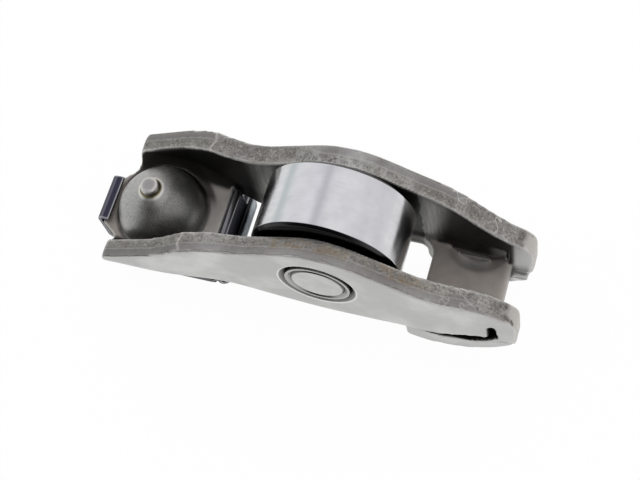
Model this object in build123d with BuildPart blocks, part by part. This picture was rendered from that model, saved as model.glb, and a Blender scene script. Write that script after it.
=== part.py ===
from build123d import *
from math import cos, radians, sin, sqrt
import os

os.makedirs("parts", exist_ok=True)

# Roller finger rocker arm. Millimetres, +Z up.
# The origin is the centre of the ball that the arm pivots on, +X runs to the valve end,
# and the arm is the same on both sides of the plane Y = 0.

# Pressed body: sheet, and half widths of the channel from socket to valve pad.
# A setback, here and below, is a distance back from the nose at the valve end.
sheet = 2.7
socket_half_width = 9.05
roller_half_width = 7.5
pad_half_width = 6.2
socket_jog_start = 2.0
socket_jog_end = 12.5
pad_jog_start_setback = 11.7
pad_jog_end_setback = 2.2
inner_jog_lead = 0.6

# Pressed body: outer bends from wall to floor, and the inner bend beside the roller and pad
socket_bend_radius = 6.0
roller_bend_radius = 3.5
pad_bend_radius = 1.2
inner_bend_radius = 0.8

# Pressed body: floors, and where the underside steps down to the pad
socket_floor_top = 0.6
pad_floor_top = -1.5
pad_coining = 0.1
belly_start = 7.0
belly_end = 26.0

# Pressed body: side view of the walls' top edge, as corners with a radius each
wall_left_x = -4.8
wall_left_height = 3.28
wall_left_radius = 1.3
shoulder_x = 6.6
shoulder_height = 9.05
shoulder_radius = 1.5
waist_x = 13.4
waist_height = 9.55
waist_radius = 9.0
crest_x = 24.7
crest_height = 14.25
crest_radius = 10.0
nose_x = 47.2
nose_height = 2.41
nose_radius = 3.0
nose_foot_radius = 1.5

# Tongue at the left end of the floor, where the clip hooks on
tongue_end_x = -7.45
tongue_half_width = 3.1
tongue_shoulder_half_width = 5.6
tongue_corner_radius = 1.6
tongue_end_round = 0.3
wall_end_bevel_x = 0.3
wall_end_bevel_y = 0.8

# Window in the floor for the roller, and the end of the pad
window_start_x = 8.0
window_start_half_width = 5.5
window_waist_x = 12.5
window_half_width = 4.55
window_start_radius = 0.4
window_end_setback = 12.4
window_end_radius = 2.3
pad_end_setback = 2.7
nose_thinning = 0.05
pad_end_radius = 0.4
pad_lip_radius = 1.0
pad_lip_overrun = 0.1

# Socket dome
ball_radius = 4.6
ball_clearance = 0.03
dome_base_radius = 5.8
dome_shoulder_radius = 5.0
dome_shoulder_height = 3.3
dome_top_radius = 1.55
dome_top_height = 6.8
pip_radius = 1.15
pip_top_height = 8.0
pip_edge_radius = 0.15
dome_foot_slope = (-0.03, 1)
dome_top_slope = (-1, 0.9)
oil_pocket_radius = 0.9
oil_pocket_height = 5.2
mouth_flare = 0.9
seat_end_angle = 58

# Guide lugs, pressed down out of the floor on both sides of the valve pad
lug_start_setback = 13.8
lug_start_half_width = 6.7
lug_end_half_width = 6.15
lug_arc_centre_setback = 8.4
lug_arc_radius = 9.9
lug_depth = 7.95
lug_start_radius = 0.9
stem_channel_half_width = 2.65
lug_flank_lean = 0.35
lug_ledge_rise = 0.2

# Pocket above each lug, and the slit that parts the lug from the wall
pocket_setback = 7.0
pocket_inner_y = 1.35
pocket_radius = 4.1
pocket_floor_radius = 1.0
pocket_slope = 0.74
pocket_overrun = 0.08
slit_start_setback = 12.3
slit_start_height = -2.0
slit_start_depth = 1.6
slit_wall_bite = 0.3
slit_wall_height = -3.0
slit_low_setback = 7.7
slit_low_height = -5.25
notch_start_setback = 3.35
notch_end_setback = 2.25
notch_height = 0.55
notch_tip_setback = 2.7
notch_left_height = 0.25

# Roller, needles and axle pin
axle_x = 23.7
axle_height = 5.8
roller_wall = 3.65
roller_width = 8.6
roller_chamfer = 0.4
pin_radius = 3.9
pin_recess = 0.08
needle_radius = 0.8
needle_count = 18
needle_end_gap = 0.5
needle_end_chamfer = 0.15
running_clearance = 0.05
countersink_radius = 4.86
countersink_depth = 0.85
stake_groove_radius = 3.3
stake_groove_width = 0.4
stake_groove_depth = 0.35

# Retaining clip of spring strip, under the socket
strip = 0.42
clip_gap = 0.06
clip_lip_end_x = -6.3
clip_lip_height = 1.75
clip_plate_height = -3.9
clip_plate_half_width = 6.3
clip_leg_half_width = 5.0
clip_leg_top = 0.75
clip_fold_gap = 0.16
clip_flange_end_x = 10.2
clip_bend_radius = 0.55
clip_corner_radius = 1.2
clip_fold_ratio = 0.9
clip_hook_run = 1.5
clip_flare_end_run = 4.5
neck_radius = 3.6
neck_slot_half_width = 0.9
neck_slot_end_x = 5.6

# Sizes that follow from the ones above
pad_jog_start = nose_x - pad_jog_start_setback
pad_jog_end = nose_x - pad_jog_end_setback
window_end_x = nose_x - window_end_setback
pad_end_x = nose_x - pad_end_setback
lug_start_x = nose_x - lug_start_setback
lug_arc_centre_x = nose_x - lug_arc_centre_setback
pocket_x = nose_x - pocket_setback
slit_start_x = nose_x - slit_start_setback
slit_low_x = nose_x - slit_low_setback
notch_start_x = nose_x - notch_start_setback
notch_end_x = nose_x - notch_end_setback
notch_tip_x = nose_x - notch_tip_setback
socket_floor_bottom = socket_floor_top - sheet
pad_floor_bottom = pad_floor_top - sheet
needle_pitch_radius = pin_radius + running_clearance + needle_radius
race_radius = needle_pitch_radius + needle_radius + running_clearance
roller_radius = race_radius + roller_wall
needle_length = roller_width - 2 * needle_end_gap
beyond = 3.0
above_all = crest_height + beyond
below_all = lug_depth + beyond
station_count = 20


def eased(x, start, end, before, after):
    """A value that goes from before to after between two places, with no corner at either."""
    t = min(max((x - start) / (end - start), 0), 1)
    return before + (after - before) * t * t * (3 - 2 * t)


def half_width(x):
    """Half of the channel's outer width at x."""
    at_socket_jog = eased(x, socket_jog_start, socket_jog_end, socket_half_width, roller_half_width)
    at_pad_jog = eased(x, pad_jog_start, pad_jog_end, 0, roller_half_width - pad_half_width)
    return at_socket_jog - at_pad_jog


def outer_bend(x):
    """Radius of the channel's outer bend at x."""
    at_socket_jog = eased(x, socket_jog_start, socket_jog_end, socket_bend_radius, roller_bend_radius)
    at_pad_jog = eased(x, window_end_x, pocket_x, 0, roller_bend_radius - pad_bend_radius)
    return at_socket_jog - at_pad_jog


def inner_bend(x):
    """Radius of the channel's inner bend at x."""
    return eased(x, socket_jog_start, socket_jog_end, socket_bend_radius - sheet, inner_bend_radius)


def underside(x):
    """Height of the channel's underside at x."""
    return eased(x, belly_start, belly_end, socket_floor_bottom, pad_floor_bottom - pad_coining)


def stations():
    """Places along the arm where the channel's section is drawn."""
    first = tongue_end_x - beyond
    step = (nose_x + beyond - first) / (station_count - 1)
    return [first + step * i for i in range(station_count)]


def floor_sheet(x):
    """Thickness of the floor at x, before the pad's face is coined."""
    return eased(x, belly_start, belly_end, sheet, sheet + pad_coining)


# Channel: an outer envelope and an inner one, each drawn through sections along the arm
with BuildPart() as envelope:
    for x in stations():
        low = underside(x)
        with BuildSketch(Plane.YZ.offset(x)) as outer_section:
            with Locations((0, (above_all + low) / 2)):
                Rectangle(2 * half_width(x), above_all - low)
            fillet(outer_section.vertices().group_by(Axis.Y)[0], outer_bend(x))
    loft()

with BuildPart() as cavity:
    for x in stations():
        low = underside(x) + floor_sheet(x)
        inner_half_width = half_width(x + inner_jog_lead) - sheet
        with BuildSketch(Plane.YZ.offset(x)) as inner_section:
            with Locations((0, (above_all + beyond + low) / 2)):
                Rectangle(2 * inner_half_width, above_all + beyond - low)
            fillet(inner_section.vertices().group_by(Axis.Y)[0], inner_bend(x))
    loft()

# Side view of the walls, with a blunt left end and a nose that runs down into the lugs
lug_arc_height = lug_arc_radius - lug_depth


def lug_arc_z(x):
    """Height of the lugs' round underside at x."""
    return lug_arc_height - sqrt(lug_arc_radius**2 - (x - lug_arc_centre_x) ** 2)


tongue_clear_height = socket_floor_top + sheet / 2
nose_foot = (nose_x, lug_arc_z(nose_x))
lug_arc_middle_x = (nose_x + lug_arc_centre_x) / 2
lug_arc_middle = (lug_arc_middle_x, lug_arc_z(lug_arc_middle_x))
with BuildPart() as side_view:
    with BuildSketch(Plane.XZ) as side_outline:
        with BuildLine():
            FilletPolyline(
                (tongue_end_x - beyond, tongue_clear_height),
                (wall_left_x, tongue_clear_height),
                (wall_left_x, wall_left_height),
                (shoulder_x, shoulder_height),
                (waist_x, waist_height),
                (crest_x, crest_height),
                (nose_x, nose_height),
                nose_foot,
                radius=(0, wall_left_radius, shoulder_radius, waist_radius, crest_radius, nose_radius),
            )
            ThreePointArc(nose_foot, lug_arc_middle, (lug_arc_centre_x, -lug_depth))
            Polyline(
                (lug_arc_centre_x, -lug_depth),
                (lug_arc_centre_x, -below_all),
                (tongue_end_x - beyond, -below_all),
                (tongue_end_x - beyond, tongue_clear_height),
            )
        make_face()
        fillet(side_outline.vertices().sort_by_distance(nose_foot)[0], nose_foot_radius)
    extrude(amount=socket_half_width + beyond, both=True)

# Plan view: tongue with concave corners, left ends of the walls, and the end of the pad
nose_inner_y = pad_half_width - sheet + nose_thinning
with BuildPart() as plan_view:
    with BuildSketch(Plane.XY.offset(-below_all)):
        with BuildLine():
            FilletPolyline(
                (tongue_end_x, 0),
                (tongue_end_x, tongue_half_width),
                (wall_left_x - wall_end_bevel_x, tongue_shoulder_half_width - wall_end_bevel_y),
                (wall_left_x, tongue_shoulder_half_width),
                (wall_left_x, socket_half_width + beyond),
                (nose_x + beyond, socket_half_width + beyond),
                (nose_x + beyond, nose_inner_y),
                (pad_end_x, nose_inner_y),
                (pad_end_x, 0),
                radius=(tongue_end_round, tongue_corner_radius, tongue_end_round, 0, 0, 0, pad_end_radius),
            )
            mirror(about=Plane.XZ)
        make_face()
    extrude(amount=below_all + above_all)

# One lug on the far side: a slab under the floor, with a round underside and a leaning inner flank
lug_root_height = pad_floor_top - sheet / 2
lug_ledge_height = pad_floor_bottom + lug_ledge_rise


def lug_flank_y(height):
    """Place across the arm of the lug's inner flank at a height."""
    lean = (pad_floor_bottom - height) / (pad_floor_bottom + lug_depth)
    return stem_channel_half_width + lug_flank_lean * lean


with BuildPart() as lug:
    with BuildSketch(Plane.XZ) as lug_side:
        with BuildLine():
            lug_start = (lug_start_x, lug_arc_z(lug_start_x))
            arc_middle_x = (lug_start_x + lug_arc_centre_x) / 2
            lug_foot = (lug_arc_centre_x, -lug_depth)
            ThreePointArc(lug_start, (arc_middle_x, lug_arc_z(arc_middle_x)), lug_foot)
            Polyline(
                lug_foot,
                (nose_x + beyond, -lug_depth),
                (nose_x + beyond, lug_ledge_height),
                (pad_end_x - pad_lip_radius / 2, lug_ledge_height),
                (pad_end_x - pad_lip_radius / 2, lug_root_height),
                (lug_start_x, lug_root_height),
                lug_start,
            )
        make_face()
        fillet(lug_side.vertices().sort_by_distance(lug_start)[0], lug_start_radius)
    extrude(amount=-(socket_half_width + beyond))
    with BuildSketch(Plane.XY.offset(-below_all)):
        with BuildLine():
            Polyline(
                (lug_start_x - beyond, 0),
                (lug_start_x - beyond, lug_start_half_width),
                (lug_start_x, lug_start_half_width),
                (pad_jog_end, lug_end_half_width),
                (nose_x + beyond, lug_end_half_width),
                (nose_x + beyond, 0),
                close=True,
            )
        make_face()
    extrude(amount=below_all, mode=Mode.INTERSECT)
    with BuildSketch(Plane.YZ.offset(lug_start_x - beyond)):
        with BuildLine():
            Polyline(
                (lug_flank_y(0), 0),
                (lug_flank_y(-below_all), -below_all),
                (socket_half_width, -below_all),
                (socket_half_width, 0),
                close=True,
            )
        make_face()
    extrude(amount=nose_x - lug_start_x + 2 * beyond, mode=Mode.INTERSECT)

# Pocket pressed into the floor above the far lug, kept clear of the wall's inner face
pocket_centre_y = pocket_inner_y + pocket_radius
wall_inner_y = half_width(pocket_x + inner_jog_lead) - sheet
pocket_bottom = pad_floor_top - pocket_slope * (pocket_radius - pocket_floor_radius)
with BuildPart() as pocket:
    with BuildSketch(Plane.XZ.offset(-pocket_centre_y)) as pocket_half:
        with BuildLine():
            Polyline(
                (pocket_x, pocket_bottom),
                (pocket_x + pocket_floor_radius, pocket_bottom),
                (pocket_x + pocket_radius + pocket_overrun, pad_floor_top + pocket_slope * pocket_overrun),
                (pocket_x + pocket_radius + pocket_overrun, pad_floor_top + sheet),
                (pocket_x, pad_floor_top + sheet),
                close=True,
            )
        make_face()
    revolve(axis=Axis((pocket_x, pocket_centre_y, 0), (0, 0, 1)))
    split(bisect_by=Plane.XZ.offset(-wall_inner_y), keep=Keep.TOP)

# Slit between wall and lug, with the relief notch at its right end
slit_inner_y = wall_inner_y - slit_wall_bite
with BuildPart() as slit:
    with BuildSketch(Plane.XZ):
        with BuildLine():
            slit_start = (slit_start_x, slit_start_height)
            slit_foot = (slit_start_x, slit_start_height - slit_start_depth)
            notch_foot = (notch_end_x, slit_wall_height)
            ThreePointArc(slit_foot, (slit_low_x, slit_low_height), notch_foot)
            Polyline(
                notch_foot,
                (notch_tip_x, notch_height),
                (notch_start_x, notch_left_height),
                (notch_start_x, slit_wall_height),
                slit_start,
                slit_foot,
            )
        make_face()
    extrude(amount=-(socket_half_width + beyond))
    with BuildSketch(Plane.YZ.offset(slit_start_x - beyond)):
        with BuildLine():
            Polyline(
                (slit_inner_y, pad_floor_top - pocket_slope * (slit_inner_y - pocket_inner_y)),
                (socket_half_width, pad_floor_top - pocket_slope * (socket_half_width - pocket_inner_y)),
                (socket_half_width, above_all),
                (slit_inner_y, above_all),
                close=True,
            )
        make_face()
    extrude(amount=notch_end_x - slit_start_x + 2 * beyond, mode=Mode.INTERSECT)

# Window for the roller, wider where it meets the socket floor
with BuildPart() as window:
    with BuildSketch(Plane.XY.offset(-below_all)) as window_sketch:
        with BuildLine():
            Polyline(
                (window_start_x, 0),
                (window_start_x, window_start_half_width),
                (window_waist_x, window_half_width),
                (window_end_x, window_half_width),
                (window_end_x, 0),
            )
            mirror(about=Plane.XZ)
        make_face()
        fillet(window_sketch.vertices().group_by(Axis.X)[0], window_start_radius)
        fillet(window_sketch.vertices().group_by(Axis.X)[-1], window_end_radius)
    extrude(amount=below_all + socket_floor_top + sheet / 2)

# Dome over the socket with its pip, drawn from the middle of the floor
dome_foot_height = socket_floor_top - sheet / 2
with BuildPart() as dome:
    with BuildSketch(Plane.XZ):
        with BuildLine():
            Line((0, dome_foot_height), (dome_base_radius, dome_foot_height))
            Spline(
                (dome_base_radius, dome_foot_height),
                (dome_shoulder_radius, dome_shoulder_height),
                (dome_top_radius, dome_top_height),
                tangents=(dome_foot_slope, dome_top_slope),
            )
            Polyline(
                (dome_top_radius, dome_top_height),
                (pip_radius, dome_top_height + (dome_top_radius - pip_radius) / 2),
                (pip_radius, pip_top_height),
                (0, pip_top_height),
                (0, dome_foot_height),
            )
        make_face()
    revolve(axis=Axis.Z)
    fillet(dome.edges().group_by(Axis.Z)[-1], pip_edge_radius)

# Hollow of the socket: a ball seat that runs up into an oil pocket, and a flared mouth
seat_radius = ball_radius + ball_clearance
with BuildPart() as socket:
    with BuildSketch(Plane.XZ):
        with BuildLine():
            seat_start = (seat_radius, 0)
            seat_end = (seat_radius * cos(radians(seat_end_angle)), seat_radius * sin(radians(seat_end_angle)))
            seat_middle_angle = radians(seat_end_angle / 2)
            ThreePointArc(
                seat_start,
                (seat_radius * cos(seat_middle_angle), seat_radius * sin(seat_middle_angle)),
                seat_end,
            )
            Polyline(
                seat_end,
                (oil_pocket_radius, oil_pocket_height),
                (0, oil_pocket_height),
                (0, -below_all),
                (seat_radius + mouth_flare + beyond, -below_all),
                (seat_radius + mouth_flare + beyond, socket_floor_bottom - beyond),
                (seat_radius, socket_floor_bottom + mouth_flare),
                seat_start,
            )
        make_face()
    revolve(axis=Axis.Z)

# Axle holes with the countersinks that the pin is staked into
axle_plane = Plane(origin=(axle_x, 0, axle_height), x_dir=(1, 0, 0), z_dir=(0, -1, 0))
countersink_run = (countersink_radius - pin_radius) / countersink_depth
outside_y = roller_half_width + beyond
with BuildPart() as axle_hole:
    with BuildSketch(Plane.YZ.offset(axle_x)):
        with BuildLine():
            Polyline(
                (0, axle_height),
                (0, axle_height + pin_radius),
                (roller_half_width - countersink_depth, axle_height + pin_radius),
                (outside_y, axle_height + countersink_radius + countersink_run * beyond),
                (outside_y, axle_height),
                close=True,
            )
        make_face()
    revolve(axis=Axis((axle_x, 0, axle_height), (0, 1, 0)))
    mirror(about=Plane.XZ)

# Rounded lip at the end of the pad
with BuildPart() as pad_lip:
    with BuildSketch(Plane.XZ):
        with BuildLine():
            lip_start = (pad_end_x - pad_lip_radius, pad_floor_top + pad_lip_overrun)
            lip_end = (pad_end_x + pad_lip_overrun, pad_floor_top - pad_lip_radius)
            RadiusArc(lip_start, lip_end, pad_lip_radius + pad_lip_overrun)
            Polyline(
                lip_end,
                (pad_end_x + beyond, pad_floor_top - pad_lip_radius),
                (pad_end_x + beyond, pad_floor_top + sheet),
                (pad_end_x - pad_lip_radius, pad_floor_top + sheet),
                lip_start,
            )
        make_face()
    extrude(amount=pad_half_width - sheet, both=True)

# Face of the pad, coined flat
pad_length = nose_x + beyond - window_end_x
with BuildPart() as pad_face:
    with BuildSketch(Plane.XY.offset(pad_floor_bottom)):
        with Locations((window_end_x + pad_length / 2, 0)):
            Rectangle(pad_length, 2 * socket_half_width)
    extrude(amount=-beyond)

with BuildPart() as body:
    add(envelope.part)
    add(cavity.part, mode=Mode.SUBTRACT)
    add(plan_view.part, mode=Mode.INTERSECT)
    add(pad_lip.part, mode=Mode.SUBTRACT)
    add(pad_face.part, mode=Mode.SUBTRACT)
    add(lug.part)
    mirror(lug.part, about=Plane.XZ)
    add(side_view.part, mode=Mode.INTERSECT)
    add(dome.part)
    add(window.part, mode=Mode.SUBTRACT)
    for far_cut in (pocket.part, slit.part):
        add(far_cut, mode=Mode.SUBTRACT)
        mirror(far_cut, about=Plane.XZ, mode=Mode.SUBTRACT)
    add(socket.part, mode=Mode.SUBTRACT)
    add(axle_hole.part, mode=Mode.SUBTRACT)
body.part.label = "body"
export_step(body.part, "parts/body.step")

# Axle pin, staked at both ends
with BuildPart() as axle_pin:
    pin_half_length = roller_half_width - pin_recess
    with BuildSketch(axle_plane.offset(-pin_half_length)):
        Circle(pin_radius)
    extrude(amount=2 * pin_half_length)
    for side in (1, -1):
        with BuildSketch(axle_plane.offset(side * pin_half_length)):
            Circle(stake_groove_radius + stake_groove_width / 2)
            Circle(stake_groove_radius - stake_groove_width / 2, mode=Mode.SUBTRACT)
        extrude(amount=-side * stake_groove_depth, mode=Mode.SUBTRACT)
axle_pin.part.label = "axle_pin"
export_step(axle_pin.part, "parts/axle_pin.step")

# Outer roller
with BuildPart() as roller_ring:
    with BuildSketch(axle_plane.offset(-roller_width / 2)):
        Circle(roller_radius)
        Circle(race_radius, mode=Mode.SUBTRACT)
    extrude(amount=roller_width)
    chamfer(roller_ring.edges().filter_by(GeomType.CIRCLE), roller_chamfer)
roller_ring.part.label = "roller_ring"
export_step(roller_ring.part, "parts/roller_ring.step")

# Needles, side by side all the way round the pin
for index in range(needle_count):
    angle = 360 / needle_count * index
    needle_plane = Plane(
        origin=(
            axle_x + needle_pitch_radius * cos(radians(angle)),
            0,
            axle_height + needle_pitch_radius * sin(radians(angle)),
        ),
        x_dir=(1, 0, 0),
        z_dir=(0, -1, 0),
    )
    with BuildPart() as needle:
        with BuildSketch(needle_plane.offset(-needle_length / 2)):
            Circle(needle_radius)
        extrude(amount=needle_length)
        chamfer(needle.edges().filter_by(GeomType.CIRCLE), needle_end_chamfer)
    needle.part.label = f"needle_{index + 1:02d}"
    export_step(needle.part, f"parts/{needle.part.label}.step")

# Retaining clip: one strip that hooks over the tongue, runs under the socket and folds up
# into the window, with a hole for the neck of the ball stud
strip_half = strip / 2
clip_left_x = tongue_end_x - clip_gap - strip_half
clip_leg_x = window_start_x + clip_gap + strip_half
clip_return_x = clip_leg_x + strip + clip_fold_gap
plate_height = clip_plate_height - strip_half
clip_fold_radius = clip_fold_ratio * (strip + clip_fold_gap) / 2
with BuildPart() as retaining_clip:
    with BuildSketch(Plane.XZ) as clip_side:
        with BuildLine() as clip_path:
            FilletPolyline(
                (clip_lip_end_x, clip_lip_height - strip_half),
                (clip_left_x, clip_lip_height - strip_half),
                (clip_left_x, plate_height),
                (clip_leg_x, plate_height),
                (clip_leg_x, clip_leg_top - strip_half),
                (clip_return_x, clip_leg_top - strip_half),
                (clip_return_x, plate_height),
                (clip_flange_end_x, plate_height),
                radius=(
                    clip_bend_radius,
                    clip_bend_radius,
                    clip_bend_radius,
                    clip_fold_radius,
                    clip_fold_radius,
                    clip_bend_radius,
                ),
            )
        trace(line_width=strip)
    extrude(amount=clip_plate_half_width, both=True)
    with BuildSketch(Plane.XY.offset(-below_all)) as clip_plan:
        with BuildLine():
            FilletPolyline(
                (clip_left_x - beyond, 0),
                (clip_left_x - beyond, tongue_half_width),
                (tongue_end_x + clip_hook_run, tongue_half_width),
                (tongue_end_x + clip_flare_end_run, clip_plate_half_width),
                (clip_flange_end_x, clip_plate_half_width),
                (clip_flange_end_x, 0),
                radius=(0, clip_corner_radius, clip_corner_radius, clip_corner_radius),
            )
            mirror(about=Plane.XZ)
        make_face()
    extrude(amount=below_all + above_all, mode=Mode.INTERSECT)
    for side in (1, -1):
        with BuildSketch(Plane.XY.offset(clip_plate_height + clip_bend_radius)):
            with Locations((clip_leg_x + strip_half, side * (clip_leg_half_width + beyond / 2))):
                Rectangle(4 * strip + 2 * clip_fold_gap, beyond)
        extrude(amount=above_all, mode=Mode.SUBTRACT)
    with BuildSketch(Plane.XY.offset(-below_all)):
        Circle(neck_radius)
        SlotCenterToCenter(2 * (neck_slot_end_x - neck_slot_half_width), 2 * neck_slot_half_width)
    extrude(amount=below_all, mode=Mode.SUBTRACT)
retaining_clip.part.label = "retaining_clip"
export_step(retaining_clip.part, "parts/retaining_clip.step")
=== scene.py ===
import logging
import math
from dataclasses import dataclass
from enum import Enum

import bmesh
import bpy
import numpy as np
from mathutils import Matrix, Vector


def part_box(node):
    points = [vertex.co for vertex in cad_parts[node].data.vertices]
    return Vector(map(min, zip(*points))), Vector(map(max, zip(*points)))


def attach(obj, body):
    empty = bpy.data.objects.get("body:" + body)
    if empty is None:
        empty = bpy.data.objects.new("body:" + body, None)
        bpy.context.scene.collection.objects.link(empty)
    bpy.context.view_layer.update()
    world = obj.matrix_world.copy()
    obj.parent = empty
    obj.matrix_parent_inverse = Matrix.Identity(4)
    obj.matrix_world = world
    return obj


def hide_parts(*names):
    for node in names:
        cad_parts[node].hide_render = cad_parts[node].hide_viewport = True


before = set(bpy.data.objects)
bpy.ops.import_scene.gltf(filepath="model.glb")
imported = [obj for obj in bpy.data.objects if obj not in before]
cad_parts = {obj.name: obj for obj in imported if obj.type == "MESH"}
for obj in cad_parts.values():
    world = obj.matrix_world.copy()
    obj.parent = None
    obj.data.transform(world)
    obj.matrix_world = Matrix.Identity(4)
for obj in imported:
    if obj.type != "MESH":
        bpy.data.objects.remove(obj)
log = logging.getLogger("rocker_arm")

MM = 0.001


class Rider(Enum):
    """The bodies of the frame that a piece can ride on."""

    ARM = "arm"
    ROLLER = "roller"
    NEEDLES = "needle_set"


class Slot(Enum):
    """The record's material slots."""

    PRESSED_BODY = "pressed_body"
    ROLLER = "roller"
    AXLE_PIN = "axle_pin"
    NEEDLES = "needles"
    SPRING_CLIP = "spring_clip"


def linear(code: str) -> tuple[float, float, float, float]:
    """Turns an sRGB colour into the linear one that a shader takes.

    Args:
        code: the colour as "#RRGGBB".

    Returns:
        Linear red, green and blue, and an alpha of 1.
    """
    parts = [int(code[i:i + 2], 16) / 255 for i in (1, 3, 5)]
    curve = [p / 12.92 if p <= 0.04045 else ((p + 0.055) / 1.055) ** 2.4 for p in parts]
    return (*curve, 1.0)


def add_node(tree: bpy.types.NodeTree, kind: str, settings: dict | None = None,
             links: dict | None = None) -> bpy.types.Node:
    """Adds one shader node with its settings and links.

    Args:
        tree: the node tree that it joins.
        kind: the node's type name.
        settings: socket names, socket numbers or properties, with a value for each. "stops" lists a
            ramp's stops, each a place and a colour or grey.
        links: socket names or numbers, with the output that feeds each.

    Returns:
        The new node.
    """
    made = tree.nodes.new(kind)
    for key, value in (settings or {}).items():
        if key == "stops":
            elements = made.color_ramp.elements
            while len(elements) < len(value):
                elements.new(0.5)
            for element, (place, colour) in zip(elements, value):
                element.position = place
                element.color = linear(colour) if isinstance(colour, str) else (colour, colour, colour, 1)
        elif isinstance(key, int) or key in made.inputs:
            made.inputs[key].default_value = value
        else:
            setattr(made, key, value)
    for key, source in (links or {}).items():
        tree.links.new(source, made.inputs[key])
    return made


def smoothstep(low: float, high: float, value: np.ndarray) -> np.ndarray:
    """A soft step from 0 at low to 1 at high, for an array of values."""
    t = np.clip((value - low) / (high - low), 0, 1)
    return t * t * (3 - 2 * t)


def new_material(name: str) -> tuple[bpy.types.Material, bpy.types.NodeTree, bpy.types.Node]:
    """Makes a material that holds a metal Principled shader and an output.

    Args:
        name: the material's name.

    Returns:
        The material, its node tree and its Principled node.
    """
    material = bpy.data.materials.new(name)
    material.use_nodes = True
    tree = material.node_tree
    tree.nodes.clear()
    shader = add_node(tree, "ShaderNodeBsdfPrincipled", {"Metallic": 1.0})
    add_node(tree, "ShaderNodeOutputMaterial", links={"Surface": shader.outputs[0]})
    return material, tree, shader


def put_material(piece: bpy.types.Object, material: bpy.types.Material) -> None:
    """Gives a piece one material in every slot."""
    piece.data.materials.clear()
    piece.data.materials.append(material)


def new_piece(name: str, shape: bmesh.types.BMesh) -> bpy.types.Object:
    """Turns a bmesh into a smooth-shaded object at the origin, and frees the bmesh."""
    mesh = bpy.data.meshes.new(name)
    shape.to_mesh(mesh)
    shape.free()
    for polygon in mesh.polygons:
        polygon.use_smooth = True
    piece = bpy.data.objects.new(name, mesh)
    bpy.context.scene.collection.objects.link(piece)
    return piece


def smooth(shape: bmesh.types.BMesh, rounds: int) -> None:
    """Moves each vertex halfway to the middle of its neighbours, a few times over."""
    for _ in range(rounds):
        bmesh.ops.smooth_vert(shape, verts=shape.verts, factor=0.5, use_axis_x=True,
                              use_axis_y=True, use_axis_z=True)


def softened_copy(node: str, name: str, voxel: float, rounds: int) -> bpy.types.Object:
    """Copies a CAD node's mesh, merges it and rounds its edges as tumbling does.

    Args:
        node: the CAD node.
        name: the new piece's name.
        voxel: the remesh size in metres, which is also about the radius of the rounded edges.
        rounds: how many times the vertices are smoothed.

    Returns:
        The new piece, at the origin.
    """
    shape = bmesh.new()
    shape.from_mesh(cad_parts[node].data)
    bmesh.ops.remove_doubles(shape, verts=shape.verts, dist=1e-7)
    rough = new_piece(name + "_rough", shape)
    remesh = rough.modifiers.new("remesh", "REMESH")
    remesh.mode = "VOXEL"
    remesh.voxel_size = voxel
    evaluated = rough.evaluated_get(bpy.context.evaluated_depsgraph_get())
    remade = bpy.data.meshes.new_from_object(evaluated)
    bpy.data.objects.remove(rough)
    shape = bmesh.new()
    shape.from_mesh(remade)
    smooth(shape, rounds)
    bpy.data.meshes.remove(remade)
    return new_piece(name, shape)


def turned(name: str, outline: list[tuple[float, float]], steps: int) -> bpy.types.Object:
    """Spins a closed outline about the roller's axle.

    Args:
        name: the new piece's name.
        outline: corners in millimetres, each a radius and a place along the axle. Corners on the
            axis close the ends.
        steps: how many copies go round.

    Returns:
        The new piece, at the origin.
    """
    x, y, z = AXLE
    shape = bmesh.new()
    corners = [shape.verts.new(((x + radius) * MM, (y + along) * MM, z * MM)) for radius, along in outline]
    ring = corners if outline[0][0] == 0 else corners + corners[:1]
    edges = [shape.edges.new(pair) for pair in zip(ring, ring[1:])]
    bmesh.ops.spin(shape, geom=corners + edges, cent=Vector(AXLE) * MM, axis=(0, 1, 0), angle=2 * math.pi,
                   steps=steps, use_merge=True)
    bmesh.ops.remove_doubles(shape, verts=shape.verts, dist=1e-7)
    bmesh.ops.recalc_face_normals(shape, faces=shape.faces)
    return new_piece(name, shape)


def read_vectors(mesh: bpy.types.Mesh, field: str) -> np.ndarray:
    """Reads a vector of every vertex, as rows of three numbers."""
    values = np.zeros(len(mesh.vertices) * 3, np.float32)
    mesh.vertices.foreach_get(field, values)
    return values.reshape(-1, 3)


def write_marks(piece: bpy.types.Object, marks: dict[str, np.ndarray]) -> None:
    """Stores one number a vertex under each name, for the finish to read."""
    for name, values in marks.items():
        attribute = piece.data.attributes.new(name, "FLOAT", "POINT")
        attribute.data.foreach_set("value", values.astype(np.float32))


def crestness(mesh: bpy.types.Mesh, voxel: float) -> np.ndarray:
    """How far each vertex stands out from its neighbours: 1 on an outer edge, -1 in a corner.

    Args:
        mesh: a mesh of even squares.
        voxel: the size of those squares in metres.

    Returns:
        One number a vertex.
    """
    place = read_vectors(mesh, "co")
    ends = np.zeros(len(mesh.edges) * 2, np.int32)
    mesh.edges.foreach_get("vertices", ends)
    first, second = ends.reshape(-1, 2).T
    total = np.zeros_like(place)
    count = np.zeros(len(place), np.float32)
    for here, there in ((first, second), (second, first)):
        np.add.at(total, here, place[there])
        np.add.at(count, here, 1)
    stand = place - total / count[:, None]
    height = (stand * read_vectors(mesh, "normal")).sum(1)
    return np.clip(height / (0.12 * voxel), -1, 1)


def finish_piece(piece: bpy.types.Object, rider: Rider, slot: Slot, *nodes: str) -> None:
    """Seats a new piece in the frame: its body and the CAD nodes that it stands for."""
    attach(piece, rider.value)
    if nodes:
        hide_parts(*nodes)
    log.info("%s: %d faces on %s", piece.name, len(piece.data.polygons), rider.value)


def axle_place() -> tuple[float, float, float]:
    """The middle of the roller, in millimetres, read from the frame."""
    low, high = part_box("roller_ring")
    return tuple((a + b) / 2 / MM for a, b in zip(low, high))


AXLE = axle_place()

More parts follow.
